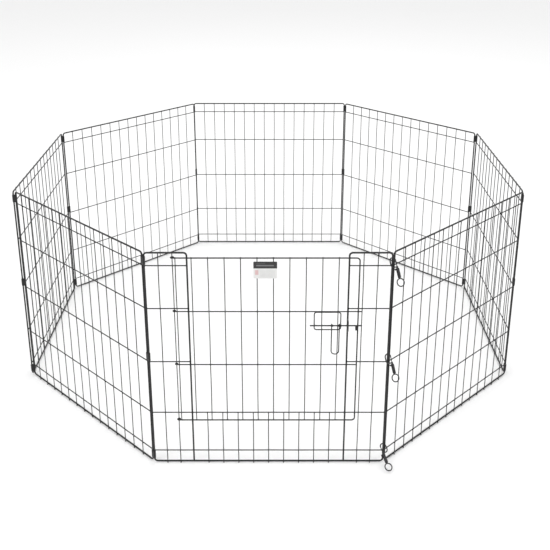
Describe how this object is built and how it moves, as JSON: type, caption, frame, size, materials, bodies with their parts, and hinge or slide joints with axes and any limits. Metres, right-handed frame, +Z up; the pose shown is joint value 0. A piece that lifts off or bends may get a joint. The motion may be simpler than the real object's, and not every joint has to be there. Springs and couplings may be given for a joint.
{
  "type": "pet playpen",
  "caption": "Folding pet playpen of black wire panels in a ring, with a bolted door in the front panel and snap hooks on the closing corner.",
  "frame": {"origin": "centre of the floor space the object takes up, the lowest snap hook included", "axes": "+Z up; -Y out through the door of the front panel; +X to the right for someone facing the door from outside, towards the closing corner's side"},
  "size_m": [1.4868, 1.5309, 0.61],
  "materials": {
    "frame_wire": "black electro coat, satin",
    "thin_wire": "black electro coat, satin",
    "clip": "black coated strip, satin",
    "latch": "black coat, satin",
    "snap": "black plated casting",
    "spring": "bare spring steel",
    "tag": "printed plastic sheet, no lettering",
    "tag_hook": "moulded"
  },
  "bodies": {
    "panel_1": {"frame_1": "frame_wire", "left_uprights_1": "thin_wire", "right_uprights_1": "thin_wire", "short_uprights_1": "thin_wire", "left_cross_wires_1": "thin_wire", "right_cross_wires_1": "thin_wire", "low_cross_wires_1": "thin_wire", "keeper": "latch", "hinge_clips_1": "clip"},
    "panel_2": {"frame_2": "frame_wire", "uprights_2": "thin_wire", "cross_wires_2": "thin_wire", "hinge_clips_2": "clip"},
    "panel_3": {"frame_3": "frame_wire", "uprights_3": "thin_wire", "cross_wires_3": "thin_wire", "hinge_clips_3": "clip"},
    "panel_4": {"frame_4": "frame_wire", "uprights_4": "thin_wire", "cross_wires_4": "thin_wire", "hinge_clips_4": "clip"},
    "panel_5": {"frame_5": "frame_wire", "uprights_5": "thin_wire", "cross_wires_5": "thin_wire", "hinge_clips_5": "clip"},
    "panel_6": {"frame_6": "frame_wire", "uprights_6": "thin_wire", "cross_wires_6": "thin_wire", "hinge_clips_6": "clip"},
    "panel_7": {"frame_7": "frame_wire", "uprights_7": "thin_wire", "cross_wires_7": "thin_wire"},
    "panel_8": {"frame_8": "frame_wire", "uprights_8": "thin_wire", "cross_wires_8": "thin_wire", "hinge_clips_7": "clip"},
    "door": {"door_frame": "frame_wire", "door_uprights": "thin_wire", "door_cross_wires": "thin_wire", "door_hinge_eyes": "frame_wire", "bolt_guide": "latch", "bolt_staples": "latch", "bolt_rest": "latch", "tag_plate": "tag", "tag_clips": "tag_hook"},
    "bolt": {"latch_bolt": "latch"},
    "handle": {"latch_handle": "latch"},
    "snap_1": {"snap_hook_1": "snap", "snap_spring_1": "spring"},
    "snap_gate_1": {"snap_gate_1": "snap"},
    "snap_ring_1": {"snap_ring_1": "snap"},
    "snap_2": {"snap_hook_2": "snap", "snap_spring_2": "spring"},
    "snap_gate_2": {"snap_gate_2": "snap"},
    "snap_ring_2": {"snap_ring_2": "snap"},
    "snap_3": {"snap_hook_3": "snap", "snap_spring_3": "spring"},
    "snap_gate_3": {"snap_gate_3": "snap"},
    "snap_ring_3": {"snap_ring_3": "snap"}
  },
  "joints": [
    {"name": "fold", "type": "hinge", "parent": "panel_5", "child": "panel_4", "pos_m": [-0.30935, 0.76025, 0.305], "axis": [0, 0, -1], "range_deg": [0, 220]},
    {"name": "panel_6_turn", "type": "hinge", "parent": "panel_5", "child": "panel_6", "pos_m": [0.30082, 0.75558, 0.305], "axis": [0, 0, 1], "range_deg": [-133, 0]},
    {"name": "panel_7_turn", "type": "hinge", "parent": "panel_6", "child": "panel_7", "pos_m": [0.73557, 0.32743, 0.305], "axis": [0, 0, 1], "range_deg": [0, 220]},
    {"name": "panel_8_turn", "type": "hinge", "parent": "panel_7", "child": "panel_8", "pos_m": [0.73557, -0.27807, 0.305], "axis": [0, 0, 1], "range_deg": [-133, 0]},
    {"name": "panel_3_turn", "type": "hinge", "parent": "panel_4", "child": "panel_3", "pos_m": [-0.7375, 0.3255, 0.305], "axis": [0, 0, -1], "range_deg": [-133, 0]},
    {"name": "panel_2_turn", "type": "hinge", "parent": "panel_3", "child": "panel_2", "pos_m": [-0.74217, -0.28467, 0.305], "axis": [0, 0, -1], "range_deg": [0, 220]},
    {"name": "panel_1_turn", "type": "hinge", "parent": "panel_2", "child": "panel_1", "pos_m": [-0.30742, -0.71282, 0.305], "axis": [0, 0, -1], "range_deg": [-133, 0]},
    {"name": "door_swing", "type": "hinge", "parent": "panel_1", "child": "door", "pos_m": [-0.23308, -0.72084, 0.38], "axis": [0, 0, -1], "range_deg": [0, 165]},
    {"name": "bolt_slide", "type": "slide", "parent": "door", "child": "bolt", "axis": [-1, 0, 0], "range_m": [0, 0.04]},
    {"name": "handle_lift", "type": "hinge", "parent": "bolt", "child": "handle", "pos_m": [0.16725, -0.73039, 0.41545], "axis": [-1, 0, 0], "range_deg": [0, 165]},
    {"name": "snap_1_swing", "type": "hinge", "parent": "panel_1", "child": "snap_1", "pos_m": [0.30508, -0.71516, 0.58055], "axis": [-0.9239, -0.3827, 0], "range_deg": [0, 50]},
    {"name": "snap_gate_1_slide", "type": "slide", "parent": "snap_1", "child": "snap_gate_1", "axis": [0.2028, -0.4896, -0.848], "range_m": [0, 0.008], "stiffness_N_per_m": 300, "springref_m": -0.004},
    {"name": "snap_ring_1_spin", "type": "hinge", "parent": "snap_1", "child": "snap_ring_1", "pos_m": [0.32253, -0.73701, 0.53756], "axis": [-0.2028, 0.4896, 0.848], "continuous": true},
    {"name": "snap_2_swing", "type": "hinge", "parent": "panel_1", "child": "snap_2", "pos_m": [0.30508, -0.71516, 0.31255], "axis": [-0.9239, -0.3827, 0], "range_deg": [0, 50]},
    {"name": "snap_gate_2_slide", "type": "slide", "parent": "snap_2", "child": "snap_gate_2", "axis": [0.2028, -0.4896, -0.848], "range_m": [0, 0.008], "stiffness_N_per_m": 300, "springref_m": -0.004},
    {"name": "snap_ring_2_spin", "type": "hinge", "parent": "snap_2", "child": "snap_ring_2", "pos_m": [0.32253, -0.73701, 0.26956], "axis": [-0.2028, 0.4896, 0.848], "continuous": true},
    {"name": "snap_3_swing", "type": "hinge", "parent": "panel_1", "child": "snap_3", "pos_m": [0.30508, -0.71516, 0.04198], "axis": [-0.9239, -0.3827, 0], "range_deg": [0, 30]},
    {"name": "snap_gate_3_slide", "type": "slide", "parent": "snap_3", "child": "snap_gate_3", "axis": [0.3135, -0.7568, -0.5736], "range_m": [0, 0.008], "stiffness_N_per_m": 300, "springref_m": -0.004},
    {"name": "snap_ring_3_spin", "type": "hinge", "parent": "snap_3", "child": "snap_ring_3", "pos_m": [0.31382, -0.75649, 0.0129], "axis": [-0.3135, 0.7568, 0.5736], "continuous": true}
  ],
  "couplings": [
    {"joint": "panel_6_turn", "follows": "fold", "ratio": -0.60454},
    {"joint": "panel_7_turn", "follows": "fold", "ratio": 1},
    {"joint": "panel_8_turn", "follows": "fold", "ratio": -0.60454},
    {"joint": "panel_3_turn", "follows": "fold", "ratio": -0.60454},
    {"joint": "panel_2_turn", "follows": "fold", "ratio": 1},
    {"joint": "panel_1_turn", "follows": "fold", "ratio": -0.60454}
  ]
}
